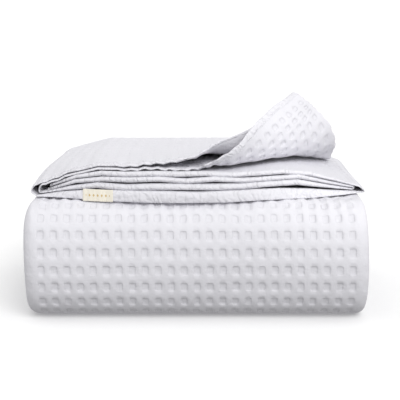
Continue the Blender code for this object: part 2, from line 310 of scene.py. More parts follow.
    def _section_rows(self) -> Array:
        """For each run and turn across the width, the numbers that place it.

        Returns:
            Rows of its first and second layer, its x at both ends in the block, the same at the hems, and
            how far it bulges in the block and at the hems.
        """
        rows = []
        start, hem_start = self.run_start, self.run_hem_start
        for index, run in enumerate(self.runs):
            side = math.copysign(1.0, run.reach)
            end, hem_end = run.reach - side * run.turn, run.hem_reach - side * run.hem_turn
            rows.append((run.layer, run.layer, start, end, hem_start, hem_end, 0.0, 0.0))
            if index + 1 < len(self.runs):
                after = self.runs[index + 1].layer
                bulges = (side * run.turn, side * run.hem_turn)
                rows.append((run.layer, after, end, end, hem_end, hem_end, *bulges))
            start, hem_start = end, hem_end
        return np.array(rows)

    def _leg_rows(self) -> Array:
        """For each leg of the side view, the numbers that place it.

        Returns:
            Rows of its start (y, z), heading, length, radius and signed turning angle.
        """
        rows = []
        y = self.inner_end
        z = self.bottom_pass + self.middle_pass + 2 * self.pass_air + self.cloth / 2
        heading = math.pi
        for leg in self.legs:
            angle = math.radians(leg.turn)
            rows.append((y, z, heading, leg.length, leg.radius, angle))
            signed = math.copysign(leg.radius, angle)
            y += leg.length * math.cos(heading)
            y += signed * (math.sin(heading + angle) - math.sin(heading))
            z += leg.length * math.sin(heading)
            z += signed * (math.cos(heading) - math.cos(heading + angle))
            heading += angle
        return np.array(rows)

    def side_point(self, v: Array) -> tuple[Array, Array, Array]:
        """Follows the lowest layer in the side view: along a line, or round an arc by its angle.

        Args:
            v: Legs passed from the hidden end.

        Returns:
            Its y, its z and its heading at v.
        """
        leg = np.clip(np.floor(v).astype(int), 0, len(self.legs) - 1)
        part = v - leg
        y, z, heading, length, radius, angle = (self.side_view[leg, column] for column in range(6))
        turned = heading + part * angle
        signed = np.copysign(radius, angle)
        y = y + part * length * np.cos(heading) + signed * (np.sin(turned) - np.sin(heading))
        z = z + part * length * np.sin(heading) + signed * (np.cos(heading) - np.cos(turned))
        return y, z, turned

    def upper_share(self, v: Array) -> Array:
        """How far v lies along the upper pass: 0 before it, 1 at its hems, in proportion to length."""
        last = len(self.legs)
        front = self.hem_length / (self.back_top - self.hem_front)
        return np.interp(v, (last - 2, last - 1, last, last + 1), (0.0, 1.0 - front, 1.0, 1.0 + front))

    def rows_of(self, u: Array) -> tuple[Array, Array, Array]:
        """Finds u in the section.

        Args:
            u: Rows of the section passed from the first run's start.

        Returns:
            The row that u lies in, its part of the way along it, and its rise in a turn, which goes from 0
            to 1 with the sine of the turn's angle, so that a turn is half round.
        """
        row = np.clip(np.floor(u).astype(int), 0, len(self.section) - 1)
        part = u - row
        is_turn = self.section[row, 0] != self.section[row, 1]
        rise = np.where(is_turn, 0.5 + 0.5 * np.sin((part - 0.5) * math.pi), 0.0)
        return row, part, rise

    def hem_values(self, u: Array) -> Array:
        """Mixes the hem table's rows of two layers by the rise of their turn.

        Args:
            u: Rows of the section passed.

        Returns:
            The values of a Hem, in its order, along the last axis.
        """
        row, _, rise = self.rows_of(u)
        first = self.section[row, 0].astype(int)
        second = self.section[row, 1].astype(int)
        rise = rise[..., None]
        return self.hem_table[first] * (1.0 - rise) + self.hem_table[second] * rise

    def in_pair(self, row: Array) -> Array:
        """Whether a row of the section belongs to the two top layers or the turn between them."""
        return (row >= 4) & (row <= 6)

    def lifted_share(self, row: Array, upper: Array, x: Array, y: Array) -> Array:
        """0 where a layer lies on the stack, and 1 where the pair has left it."""
        past = smooth(self.distance_from_contact(x, y), -self.contact_blend, self.contact_blend)
        return self.in_pair(row) * past * (upper > 0.0)

    def middle(self, u: Array, v: Array) -> Array:
        """Middle of the cloth: the section's point, stood across the side view's heading at v.

        Args:
            u: Rows of the section passed.
            v: Legs passed from the hidden end.

        Returns:
            The points (x, y, z), along the last axis.
        """
        row, part, rise = self.rows_of(u)
        first, second, x0, x1, hem_x0, hem_x1, bulge, hem_bulge = (
            self.section[row, column] for column in range(8)
        )
        upper = self.upper_share(v)
        swing = (part - 0.5) * math.pi
        is_turn = first != second
        x_block = np.where(is_turn, x1 + bulge * np.cos(swing), x0 + part * (x1 - x0))
        x_hem = np.where(is_turn, hem_x1 + hem_bulge * np.cos(swing), hem_x0 + part * (hem_x1 - hem_x0))
        x = x_block + (x_hem - x_block) * upper
        at_back = smooth(v, *self.narrow_at[:2]) * (1.0 - smooth(v, *self.narrow_at[2:]))
        x = x - np.minimum(x, 0.0) * self.back_narrowing * at_back

        y, z, heading = self.side_point(v)
        in_pair = self.in_pair(row)
        lifted = self.lifted_share(row, upper, x, y)
        first_up = self.layer_height(x, v, upper, lifted, first)
        second_up = self.layer_height(x, v, upper, lifted, second)
        above = first_up + rise * (second_up - first_up)

        hem = smooth((upper - 1.0 + self.hem_zone) / self.hem_zone)
        values = self.hem_values(u)
        corner = in_pair * smooth(x, self.corner_fall_from, self.corner_fall_to)
        bow = values[..., 2] * (x - self.hem_middle) ** 2 + self.corner_fall * corner
        shift = hem * (values[..., 1] + bow)
        most = self.droop_reach * self.front_corner
        over = np.clip(self.front_depth - y - shift, 0.0, most) * (upper > 0.0)
        droop = values[..., 3] * (self.front_corner - np.sqrt(self.front_corner**2 - over**2))
        y = y + above * np.sin(heading) + shift
        z = z - above * np.cos(heading) - droop

        top = np.full(np.shape(x), 5.0)
        pair = self.layer_height(x, v, upper, lifted, top)
        pair = (pair + self.layer_height(x, v, upper, lifted, top - 1.0)) / 2
        offset = above - np.where(in_pair, pair, above)
        return self.turned_up(x, y, z, offset, in_pair & (upper > 0.0), row == 4)

    def openness(self, x: Array, v: Array, upper: Array, lifted: Array) -> tuple[Array, Array]:
        """Works out the strip's height, which falls towards both side folds as a power of the distance.

        Args:
            x: Place across.
            v: Legs passed from the hidden end.
            upper: Share of the way along the upper pass.
            lifted: How far the cloth has left the stack.

        Returns:
            The height, and how much of it the layers' least heights leave over.
        """
        legs = np.arange(len(self.legs) + 1)
        full = np.interp(v, legs, (self.middle_pass, *(leg.height for leg in self.legs)))
        pinch = np.interp(v, legs, (self.end_pinch, *(leg.pinch for leg in self.legs))) * (1.0 - lifted)
        left = self.runs[1].reach + (self.runs[1].hem_reach - self.runs[1].reach) * upper
        right = self.runs[0].reach + (self.runs[0].hem_reach - self.runs[0].reach) * upper
        to_tip = np.where(x < 0.0, x - left, right - x)
        taper = np.clip(to_tip / self.taper, 0.0, 1.0) ** self.taper_power
        height = full * (1.0 - pinch * (1.0 - taper))
        return height, self.left_over(height)

    def left_over(self, height: float | Array) -> float | Array:
        """What the six layers' least heights leave over of a height."""
        return height - self.cloth - (len(self.hems) - 1) * self.layer_room

    def layer_height(self, x: Array, v: Array, upper: Array, lifted: Array, layer: Array) -> Array:
        """Adds up a layer's height in the strip: its least height and its share of what is left over.

        Args:
            x: Place across.
            v: Legs passed from the hidden end.
            upper: Share of the way along the upper pass.
            lifted: How far the cloth has left the stack.
            layer: The layer, from 0 for the lowest one of the upper pass.

        Returns:
            Its height over the lowest layer's place.
        """
        _, spare = self.openness(x, v, upper, lifted)
        even = layer / (len(self.hems) - 1)
        share = even * (1.0 - upper) + self.hem_table[layer.astype(int), 0] * upper
        return layer * self.layer_room + share * spare

    def distance_from_contact(self, x: Array, y: Array) -> Array:
        """Distance on the plan from the line where the top layers leave the stack, positive past it."""
        across = (x - self.contact_x) * math.sin(self.contact_angle)
        return across - (y - self.contact_y) * math.cos(self.contact_angle)

    def turned_up(
        self, x: Array, y: Array, z: Array, offset: Array, in_pair: Array, is_top: Array
    ) -> Array:
        """Bends the pair up past its contact line: a tight arc first, then a slow one leaning back.

        The distance past the line becomes arc length, so that the cloth isn't stretched, and the height
        over the pair's middle is carried along the arc's normal. A hump of a squared sine opens the pocket
        between the two layers.

        Args:
            x: Place across.
            y: Place from front to back.
            z: Height.
            offset: Height over the pair's middle.
            in_pair: Whether a point belongs to the pair.
            is_top: Whether it belongs to the top layer.

        Returns:
            The bent points (x, y, z), along the last axis.
        """
        distance = self.distance_from_contact(x, y)
        curl_length = self.curl_radius * self.curl_angle
        curled = np.clip(distance, 0.0, curl_length) / self.curl_radius
        beyond = np.maximum(distance - curl_length, 0.0) / self.lean_radius
        angle = curled + beyond
        out = self.curl_radius * np.sin(curled)
        out = out + self.lean_radius * (np.sin(angle) - np.sin(curled)) * (beyond > 0.0)
        up = self.curl_radius * (1.0 - np.cos(curled))
        up = up + self.lean_radius * (np.cos(curled) - np.cos(angle)) * (beyond > 0.0)
        out = np.where(distance > 0.0, out, distance)

        across = (x - self.pocket_left) / (self.pocket_right - self.pocket_left)
        hump = np.sin(np.pi * np.clip(across, 0.0, 1.0) ** self.pocket_skew) ** 2
        near_hem = smooth(1.0 - (y - self.hem_front - self.pocket_front) / self.pocket_depth)
        opened = self.pocket * hump * near_hem * is_top * in_pair
        offset = offset + opened
        z = z + opened

        shift = out - distance - offset * np.sin(angle)
        rise = up + offset * (np.cos(angle) - 1.0)
        new_x = x + in_pair * shift * math.sin(self.contact_angle)
        new_y = y - in_pair * shift * math.cos(self.contact_angle)
        return np.stack((new_x, new_y, z + in_pair * rise), axis=-1)

    def normal(self, u: Array, v: Array) -> Array:
        """Unit normal towards the inner side, from differences of the middle surface across and along.

        Args:
            u: Rows of the section passed.
            v: Legs passed from the hidden end.

        Returns:
            The normals, along the last axis.
        """
        across = self.middle(u + SLOPE_STEP, v) - self.middle(u - SLOPE_STEP, v)
        along = self.middle(u, v + SLOPE_STEP) - self.middle(u, v - SLOPE_STEP)
        normal = np.cross(across, along)
        return normal / np.linalg.norm(normal, axis=-1, keepdims=True)


@dataclass(frozen=True)
class Waffle:
    """The weave's cells: one rounded oblong hollow in each.

    Args:
        across: Width of a cell.
        along: Length of a cell.
        start_across: Where a cell starts on the cloth, across.
        start_along: The same, along.
        half_width: Half the width of a hollow.
        half_length: Half its length.
        corner: Radius of its corners.
        wall: Width of its sloping wall.
        depth: Its depth.
    """

    across: float = 0.0159
    along: float = 0.0216
    start_across: float = 0.0
    start_along: float = 0.0
    half_width: float = 0.0040
    half_length: float = 0.0053
    corner: float = 0.0020
    wall: float = 0.0012
    depth: float = 0.0013

    def cell(self, s: Array, t: Array) -> tuple[Array, Array, Array, Array]:
        """Finds the cell at (s, t).

        Args:
            s: Place across the cloth.
            t: Place along it.

        Returns:
            The cell's number across and along, and the distances from its middle across and along.
        """
        across = (s - self.start_across) / self.across
        along = (t - self.start_along) / self.along
        column, row = np.floor(across + 1e-9), np.floor(along + 1e-9)
        return column, row, (across - column - 0.5) * self.across, (along - row - 0.5) * self.along

    def hollow(self, s: Array, t: Array) -> Array:
        """1 in a hollow and 0 between: a smooth step over the distance to a rounded oblong.

        Each hollow is a little off its place, its size and its depth, by sines of its cell's number.

        Args:
            s: Place across the cloth.
            t: Place along it.

        Returns:
            The depth at (s, t) as a share of the hollows' depth.
        """
        column, row, x, y = self.cell(s, t)
        wobble = np.sin(column * 2.3 + row * 1.7) + np.sin(column * 0.9 - row * 2.9)
        other = np.sin(column * 1.3 - row * 2.1 + 1.0) + np.sin(column * 3.1 + row * 0.7)
        x = np.abs(x + 0.00032 * wobble) - self.half_width + self.corner - 0.00030 * other
        y = np.abs(y + 0.00042 * other) - self.half_length + self.corner - 0.00034 * wobble
        reach = np.hypot(np.maximum(x, 0.0), np.maximum(y, 0.0)) - self.corner
        return (1.0 - smooth(reach, -self.wall / 2, self.wall / 2)) * (1.0 + 0.10 * wobble)

    def lines_across(self, low: float, high: float, parts: tuple[float, ...]) -> Array:
        """Places across the cloth that lie at the given parts of a cell, as lines_in gives them."""
        return self.lines_in(self.start_across, self.across, low, high, parts)

    def lines_along(self, low: float, high: float, parts: tuple[float, ...]) -> Array:
        """The same along the cloth."""
        return self.lines_in(self.start_along, self.along, low, high, parts)

    @staticmethod
    def lines_in(
        start: float, cell: float, low: float, high: float, parts: tuple[float, ...]
    ) -> Array:
        """Finds the places that lie at the given parts of a cell.

        Args:
            start: Where a cell starts.
            cell: Length of a cell.
            low: Least place.
            high: Greatest place.
            parts: Parts of the way through a cell, from 0 to 1.

        Returns:
            The places between low and high, in order.
        """
        first, last = math.floor((low - start) / cell) - 1, math.ceil((high - start) / cell) + 1
        cells = np.arange(first, last + 1)[:, None]
        places = (start + cell * (cells + np.array(parts))).ravel()
        return places[(places > low) & (places < high)]


@dataclass
class MeshLines:
    """Mesh lines in one direction.

    Args:
        values: u or v of all lines, in order.
        masters: Indexes of those that the coarse parts use too.
    """

    values: Array
    masters: Array

    @classmethod
    def merged(cls, masters: Array, finer: Array, apart: float) -> MeshLines:
        """Joins master lines and finer ones, leaving out finer ones that crowd another line.

        Args:
            masters: Values of the lines that every part of the mesh has.
            finer: Values of the lines for its fine parts.
            apart: Least distance between a finer line and the next.

        Returns:
            The joined lines, with the indexes of the masters.
        """
        masters = np.unique(np.round(masters, 7))
        near = np.abs(finer[:, None] - masters[None, :]).min(axis=1)
        values = np.sort(np.concatenate((masters, finer[near > apart])))
        return cls(values, np.searchsorted(values, masters))


@dataclass
class ClothGrid:
    """The cloth's mesh over two sets of lines: fine blocks on the outer face, masters elsewhere.

    A coarse cell beside a fine block takes the block's points on its sides as corners of its own, so the
    mesh has no gaps.

    Args:
        across: Lines across the cloth, in u.
        along: Lines along it, in v.
        fine: Which cells between the masters are fine.
    """

    across: MeshLines
    along: MeshLines
    fine: Array

    def __post_init__(self) -> None:
        """Marks the points of the full grid that the outer face uses."""
        wide, long_ = np.diff(self.across.masters), np.diff(self.along.masters)
        self.fine_cells = np.repeat(np.repeat(self.fine, wide, axis=0), long_, axis=1)
        used = self.cells_around().any(axis=0)
        used[np.ix_(self.across.masters, self.along.masters)] = True
        self.used = used
        self.numbers = np.cumsum(used).reshape(used.shape) - 1
        self.outer_count = int(used.sum())
        columns = len(self.along.masters)
        self.inner_numbers = self.outer_count + np.arange(len(self.across.masters) * columns)
        self.inner_numbers = self.inner_numbers.reshape(-1, columns)

    def cells_around(self) -> Array:
        """For each point of the full grid, which of the four cells round it are fine, on the first axis."""
        padded = np.pad(self.fine_cells, 1)
        return np.stack((padded[1:, 1:], padded[:-1, 1:], padded[1:, :-1], padded[:-1, :-1]))

    def outer_points(self) -> tuple[Array, Array]:
        """Indexes of the lines that cross at each point of the outer face."""
        return np.nonzero(self.used)

    def outline(self, i0: int, i1: int, j0: int, j1: int) -> list[int]:
        """Points used on the outline of a coarse cell, in order.

        Args:
            i0: Its first line across.
            i1: Its last line across.
            j0: Its first line along.
            j1: Its last line along.

        Returns:
            The points' numbers.
        """
        across, along = np.arange(i0, i1), np.arange(j0, j1)
        i = np.concatenate((across, np.full(len(along), i1), across[::-1] + 1, np.full(len(along), i0)))
        j = np.concatenate((np.full(len(across), j0), along, np.full(len(across), j1), along[::-1] + 1))
        return self.numbers[i, j][self.used[i, j]].tolist()

    def faces(self) -> list[list[int]]:
        """Lists the fine blocks' cells, the coarse cells of both sides and the rims between the sides.

        Returns:
            The faces, as lists of point numbers.
        """
        i, j = np.nonzero(self.fine_cells)
        n = self.numbers
        quads = np.stack((n[i, j], n[i, j + 1], n[i + 1, j + 1], n[i + 1, j]), axis=-1)
        faces = quads.tolist()
        wide, long_ = self.across.masters, self.along.masters
        for a, b in zip(*np.nonzero(~self.fine)):
            faces.append(self.outline(wide[a], wide[a + 1], long_[b], long_[b + 1])[::-1])
        m = self.inner_numbers
        inner = np.stack((m[:-1, :-1], m[1:, :-1], m[1:, 1:], m[:-1, 1:]), axis=-1)
        faces += inner.reshape(-1, 4).tolist()
        return faces + self.rims()

    def rims(self) -> list[list[int]]:
        """Closes the four rims with a face for each pair of masters.

        Returns:
            The faces, as lists of point numbers.
        """
        wide, long_ = self.across.masters, self.along.masters
        m = self.inner_numbers
        last_i, last_j = wide[-1], long_[-1]
        faces = []
        for a, (i0, i1) in enumerate(zip(wide[:-1], wide[1:])):
            for j, column, turned in ((0, 0, False), (last_j, -1, True)):
                row = self.numbers[i0 : i1 + 1, j][self.used[i0 : i1 + 1, j]].tolist()
                face = [*row, int(m[a + 1, column]), int(m[a, column])]
                faces.append(face[::-1] if turned else face)
        for b, (j0, j1) in enumerate(zip(long_[:-1], long_[1:])):
            for i, line, turned in ((0, 0, True), (last_i, -1, False)):
                row = self.numbers[i, j0 : j1 + 1][self.used[i, j0 : j1 + 1]].tolist()
                face = [*row, int(m[line, b + 1]), int(m[line, b])]
                faces.append(face[::-1] if turned else face)
        return faces


@dataclass(frozen=True)
class Unevenness:
    """Soft unevenness of the whole fold: a smooth shift of space, so that no layers meet.

    Sines of x move the upper pass up and down, and sines of x and z move the front in and out. Both fade
    to nothing at the surface below.

    Args:
        lift: How far the upper pass moves up and down.
        push: How far the front moves in and out.
        ripple: Height of the short waves along the hems.
        upper_z: Heights over which the upper pass starts to move.
        front_y: Places in front of the middle over which it does.
        ripple_y: Places in front of the middle over which the short waves start.
        floor_z: Heights over which the shift fades to nothing.
        plain_x: Middle of the stretch of hem that carries the label and stays straight.
        plain_reach: How far it reaches on both sides.
    """

    lift: float = 0.0007
    push: float = 0.0011
    ripple: float = 0.0009
    upper_z: tuple[float, float] = (0.10, 0.15)
    front_y: tuple[float, float] = (-0.10, 0.06)
    ripple_y: tuple[float, float] = (0.06, 0.11)
    floor_z: tuple[float, float] = (0.004, 0.05)
    plain_x: float = -0.124
    plain_reach: float = 0.026

    def shifted(self, points: Array) -> Array:
        """Shifts points by the sum of the sines.

        Args:
            points: Points (x, y, z), along the last axis.

        Returns:
            The points after the shift.
        """
        x, y, z = points[..., 0], points[..., 1], points[..., 2]
        upper = smooth(z, *self.upper_z) * smooth(-y, *self.front_y)
        wave = np.sin(x * 74.0 + 1.1 * np.sin(x * 31.0)) + 0.7 * np.sin(x * 137.0 + 2.0 + y * 40.0)
        slow = np.sin(x * 17.0 + 0.6) * np.sin(z * 30.0 + 1.0) + 0.6 * np.sin(x * 39.0 - z * 26.0)
        off_floor = smooth(z, *self.floor_z)
        moved = np.array(points)
        ripple = np.sin(x * 395.0 + 2.0 * np.sin(x * 31.0) + z * 60.0)
        plain = 1.0 - np.exp(-(((x - self.plain_x) / self.plain_reach) ** 4))
        lift = self.lift * wave + self.ripple * ripple * smooth(-y, *self.ripple_y)
        moved[..., 2] += lift * upper * plain
        moved[..., 1] += self.push * (slow + 0.35 * wave * upper) * off_floor
        moved[..., 0] += 0.8 * self.push * np.sin(y * 33.0 + z * 24.0) * off_floor
        return moved


def new_mesh(name: str, points: Array, faces: list[list[int]]) -> bpy.types.Object:
    """An object at the origin with the given points and faces, shaded smooth.

    Args:
        name: The piece's name.
        points: Its points in the row frame, in metres.
        faces: Its faces, as lists of point numbers.

    Returns:
        The new object, linked to the scene.
    """
    mesh = bpy.data.meshes.new(name)
    mesh.from_pydata(points.tolist(), [], faces)
    mesh.shade_smooth()
    piece = bpy.data.objects.new(name, mesh)
    bpy.context.scene.collection.objects.link(piece)
    return piece


def set_uv(piece: bpy.types.Object, places: Array) -> None:
    """Gives the piece a UV map.

    Args:
        piece: The piece.
        places: A place (s, t) for each of its points.
    """
    mesh = piece.data
    corners = np.empty(len(mesh.loops), dtype=np.int32)
    mesh.loops.foreach_get("vertex_index", corners)
    layer = mesh.uv_layers.new(name=CLOTH_UV)
    layer.data.foreach_set("uv", places[corners].astype(np.float32).ravel())


def set_attribute(piece: bpy.types.Object, name: str, values: Array) -> None:
    """Stores a number for each point."""
    attribute = piece.data.attributes.new(name, "FLOAT", "POINT")
    attribute.data.foreach_set("value", values.astype(np.float32))


class Value:
    """A number that varies over a surface. Plain arithmetic on it adds Math nodes."""

    def __init__(self, nodes: Nodes, socket: bpy.types.NodeSocket) -> None:
        """Wraps a socket of the given tree."""
        self.nodes = nodes
        self.socket = socket

    def math(self, operation: str, *others: Value | float) -> Value:
        """A Math node on this value and the others."""
        return self.nodes.value(
            "ShaderNodeMath", {"operation": operation}, dict(enumerate((self, *others)))
        )

    def __add__(self, other: Value | float) -> Value:
        """This plus the other."""
        return self.math("ADD", other)

    __radd__ = __add__

    def __sub__(self, other: Value | float) -> Value:
        """This less the other."""
        return self.math("SUBTRACT", other)

    def __rsub__(self, other: float) -> Value:
        """The other less this."""
        return self.nodes.value(
            "ShaderNodeMath", {"operation": "SUBTRACT"}, {0: other, 1: self}
        )

    def __mul__(self, other: Value | float) -> Value:
        """This times the other."""
        return self.math("MULTIPLY", other)

    __rmul__ = __mul__

    def __truediv__(self, other: Value | float) -> Value:
        """This divided by the other."""
        return self.math("DIVIDE", other)

    def step(self, low: float, high: float) -> Value:
        """Turns this into a smooth step.

        Args:
            low: Where the step starts.
            high: Where it ends.

        Returns:
            0 where this is under low, 1 where it is over high, and a smooth rise between.
        """
        settings = {"interpolation_type": "SMOOTHSTEP"}
        return self.nodes.value(
            "ShaderNodeMapRange", settings, {"Value": self, "From Min": low, "From Max": high}
        )


class Nodes:
    """A node tree, and the single way in which nodes are added to it."""

    def __init__(self, tree: bpy.types.NodeTree) -> None:
        """Takes a material's or the world's tree, with the shader that it starts with."""
        self.tree = tree
        self.shader = tree.nodes.get("Principled BSDF")

    @classmethod
    def of_material(cls, name: str) -> tuple[bpy.types.Material, Nodes]:
        """A new material with its tree."""
        material = bpy.data.materials.new(name)
        material.use_nodes = True
        return material, cls(material.node_tree)

    def add(self, kind: str, settings: dict, sockets: dict) -> bpy.types.Node:
        """Adds a node.

        Args:
            kind: The node's type.
            settings: Its settings, such as a Math node's operation, which are set first.
            sockets: For each input, by name or number, its value or what is linked to it.

        Returns:
            The new node.
        """
        node = self.tree.nodes.new(kind)
        for setting, value in settings.items():
            setattr(node, setting, value)
        for key, value in sockets.items():
            self.feed(node.inputs[key], value)
        return node

    def feed(self, socket: bpy.types.NodeSocket, value: object) -> None:
        """Links or sets an input.

        Args:
            socket: The input.
            value: A wrapped value or an output to link, or a constant.
        """
        if isinstance(value, Value):
            value = value.socket
        if isinstance(value, bpy.types.NodeSocket):
            self.tree.links.new(value, socket)
        else:
            socket.default_value = value

    def value(self, kind: str, settings: dict, sockets: dict, output: int | str = 0) -> Value:
        """Adds a node and wraps one of its outputs."""
        return Value(self, self.add(kind, settings, sockets).outputs[output])

    def mix(self, share: Value, first: tuple | object, second: tuple | object) -> bpy.types.NodeSocket:
        """Mixes two colours, from the first at share 0 to the second at 1."""
        node = self.add("ShaderNodeMix", {"data_type": "RGBA"}, {0: share, 6: first, 7: second})
        return node.outputs[2]

    def places(self) -> tuple[Value, Value]:
        """The cloth's own places (s, t), across and along, in metres."""
        uv = self.add("ShaderNodeUVMap", {"uv_map": CLOTH_UV}, {})
        parts = self.add("ShaderNodeSeparateXYZ", {}, {0: uv.outputs[0]})
        return Value(self, parts.outputs[0]), Value(self, parts.outputs[1])

    def noise(
        self, size: float, detail: float, stretch: tuple[float, float, float] = (1, 1, 1)
    ) -> Value:
        """Adds noise on the piece's own coordinates.

        Args:
            size: About the size of its spots.
            detail: How many times finer spots are added to them.
            stretch: How much denser the spots are along each axis.

        Returns:
            The noise, from 0 to 1.
        """
        where = self.add("ShaderNodeTexCoord", {}, {}).outputs["Object"]
        scaled = self.add("ShaderNodeVectorMath", {"operation": "MULTIPLY"}, {0: where, 1: stretch})
        sockets = {"Vector": scaled.outputs[0], "Scale": 1.0 / size, "Detail": detail}
        return self.value("ShaderNodeTexNoise", {}, sockets, "Fac")

    def bump(self, height: Value) -> None:
        """Feeds the shader's normal from a height in metres."""
        sockets = {"Height": height, "Distance": 1.0, "Strength": 1.0}
        node = self.add("ShaderNodeBump", {}, sockets)
        self.feed(self.shader.inputs["Normal"], node.outputs[0])

    def constants(self, **values: float | tuple) -> None:
        """Sets constants on the shader's own sockets, with _ for a space in their names."""
        for name, value in values.items():
            self.shader.inputs[name.replace("_", " ")].default_value = value


@dataclass(frozen=True)
class CottonFinish:
    """White cotton in a waffle weave: yarns, waffle cells where they aren't modelled, and lumps and dents
    along the hems.

    Args:
        edge: Length of the cloth up to its hems in front.
        ground: Colour of the weave's ground.
        hollow: Colour at the bottom of a cell, where less light gets in.
        yarn: Distance from yarn to yarn.
        yarn_height: How far the yarns stand out.
        fuzz_size: Size of the cloth's fine unevenness.
        fuzz_height: Its height.
        lump_size: Size of the lumps along the hems.
        lump_height: Their height.
        dent_depth: Depth of the dents between the lumps along the hems.
        dent_size: Size of the noise that moves the dents.
        dent_wander: How many cells the dents move.
        hem_band: Distances from the edge where the lumps start and where they are whole.
        modelled_relief: Share of a cell's depth that the bump adds to a modelled cell.
        bump_relief: Share that it adds to that where a cell isn't modelled.
        rim: How strongly the shade gathers along a cell's wall.
        rim_rise: Distances from a hollow's outline over which that shade comes.
        rim_fall: Distances over which it goes.
        patch_size: Size of the slightly darker patches.
        patch_share: How strong they are.
        roughness: Roughness of the cloth.
        sheen: Sheen of its short fibres.
    """

    edge: float
    ground: tuple[float, float, float, float] = (0.800, 0.793, 0.835, 1.0)
    hollow: tuple[float, float, float, float] = (0.755, 0.748, 0.790, 1.0)
    yarn: float = 0.0013
    yarn_height: float = 0.00006
    fuzz_size: float = 0.0032
    fuzz_height: float = 0.00055
    lump_size: float = 0.011
    lump_height: float = 0.0040
    dent_depth: float = 0.0007
    dent_size: float = 0.014
    dent_wander: float = 1.6
    hem_band: tuple[float, float] = (0.009, 0.006)
    modelled_relief: float = 0.35
    bump_relief: float = 0.45
    rim: float = 0.5
    rim_rise: tuple[float, float] = (-0.0016, -0.0006)
    rim_fall: tuple[float, float] = (-0.0002, 0.0006)
    patch_size: float = 0.06
    patch_share: float = 0.25
    roughness: float = 0.92
    sheen: float = 0.15

    def made(self, waffle: Waffle, name: str) -> bpy.types.Material:
        """Makes the material, for cloth whose UV map holds its own places in metres.

        Args:
            waffle: The weave's cells.
            name: The material's name.

        Returns:
            The material.
        """
        material, nodes = Nodes.of_material(name)
        s, t = nodes.places()
        x = (((s - waffle.start_across) / waffle.across).math("FRACT") - 0.5).math("ABSOLUTE")
        y = (((t - waffle.start_along) / waffle.along).math("FRACT") - 0.5).math("ABSOLUTE")
        x = (x * waffle.across - (waffle.half_width - waffle.corner)).math("MAXIMUM", 0.0)
        y = (y * waffle.along - (waffle.half_length - waffle.corner)).math("MAXIMUM", 0.0)
        reach = (x * x + y * y).math("SQRT") - waffle.corner
        cells = nodes.value("ShaderNodeAttribute", {"attribute_name": CELL_SHARE}, {}, "Fac")
        hollow = (1.0 - reach.step(-waffle.wall / 2, waffle.wall / 2)) * cells
        share = nodes.value("ShaderNodeAttribute", {"attribute_name": BUMP_SHARE}, {}, "Fac")
        turn = 2 * math.pi / self.yarn
        yarns = (s * turn).math("SINE") * (t * turn).math("SINE")
        fuzz = nodes.noise(self.fuzz_size, 3.0) - 0.5
        lumps = nodes.noise(self.lump_size, 2.0) - 0.5
        wander = nodes.noise(self.dent_size, 1.0) * self.dent_wander
        dents = ((s / waffle.across + wander) * (2 * math.pi)).math("SINE").math("ABSOLUTE")
        near_edge = t.step(self.edge - self.hem_band[0], self.edge - self.hem_band[1])
        height = (
            yarns * self.yarn_height
            + fuzz * self.fuzz_height
            + lumps * near_edge * self.lump_height
            + dents * near_edge * self.dent_depth
            - hollow * (self.modelled_relief + self.bump_relief * share) * waffle.depth
        )
        nodes.bump(height)
        # Painted shade: the hollows are mixed half-way to the darker hollow colour, and a band along the
        # inside of each hollow's wall is mixed further.
        rim = reach.step(*self.rim_rise) * (1.0 - reach.step(*self.rim_fall)) * cells
        shade = nodes.mix(hollow * 0.5 + rim * self.rim, self.ground, self.hollow)
        patch = nodes.noise(self.patch_size, 2.0).step(0.3, 0.8) * self.patch_share
        nodes.feed(nodes.shader.inputs["Base Color"], nodes.mix(patch, shade, self.hollow))
        nodes.constants(Roughness=self.roughness, Sheen_Weight=self.sheen, Sheen_Roughness=0.5)
        return material


@dataclass(frozen=True)
class LabelFinish:
    """A cream satin label with a row of small gold lozenges.

    Args:
        cream: Colour of the ground.
        gold: Colour of the motif.
        pitch: Distance from lozenge to lozenge.
        half_width: Half the width of a lozenge.
        half_height: Half its height.
        row: Half the length of the row, in pitches.
        motif_height: How far the lozenges stand out.
        rib: Distance from rib to rib of the ground.
        rib_height: How far the ribs stand out.
    """

    cream: tuple[float, float, float, float] = (0.90, 0.85, 0.73, 1.0)
    gold: tuple[float, float, float, float] = (0.66, 0.47, 0.20, 1.0)
    pitch: float = 0.0052
    half_width: float = 0.0014
    half_height: float = 0.0020
    row: float = 3.0
    motif_height: float = 0.0001
    rib: float = 0.0006
    rib_height: float = 0.00003

    def made(self, name: str, width: float, height: float) -> bpy.types.Material:
        """Makes the material, for a label whose UV map holds metres from its lower left corner.

        Args:
            name: The material's name.
            width: Width of the label.
            height: Its height.

        Returns:
            The material.
        """
        material, nodes = Nodes.of_material(name)
        s, t = nodes.places()
        across = ((s - width / 2) / self.pitch + 0.5).math("FRACT") - 0.5
        across = across.math("ABSOLUTE") * (self.pitch / self.half_width)
        along = (t - height / 2).math("ABSOLUTE") * (1.0 / self.half_height)
        lozenge = 1.0 - (across + along).step(0.8, 1.15)
        from_middle = (s - width / 2).math("ABSOLUTE")
        lozenge *= 1.0 - from_middle.step((self.row - 0.1) * self.pitch, self.row * self.pitch)
        ribs = (t * (2 * math.pi / self.rib)).math("SINE")
        nodes.bump(ribs * self.rib_height + lozenge * self.motif_height)
        nodes.feed(nodes.shader.inputs["Base Color"], nodes.mix(lozenge, self.cream, self.gold))
        nodes.constants(Roughness=0.55, Sheen_Weight=0.2)
        return material


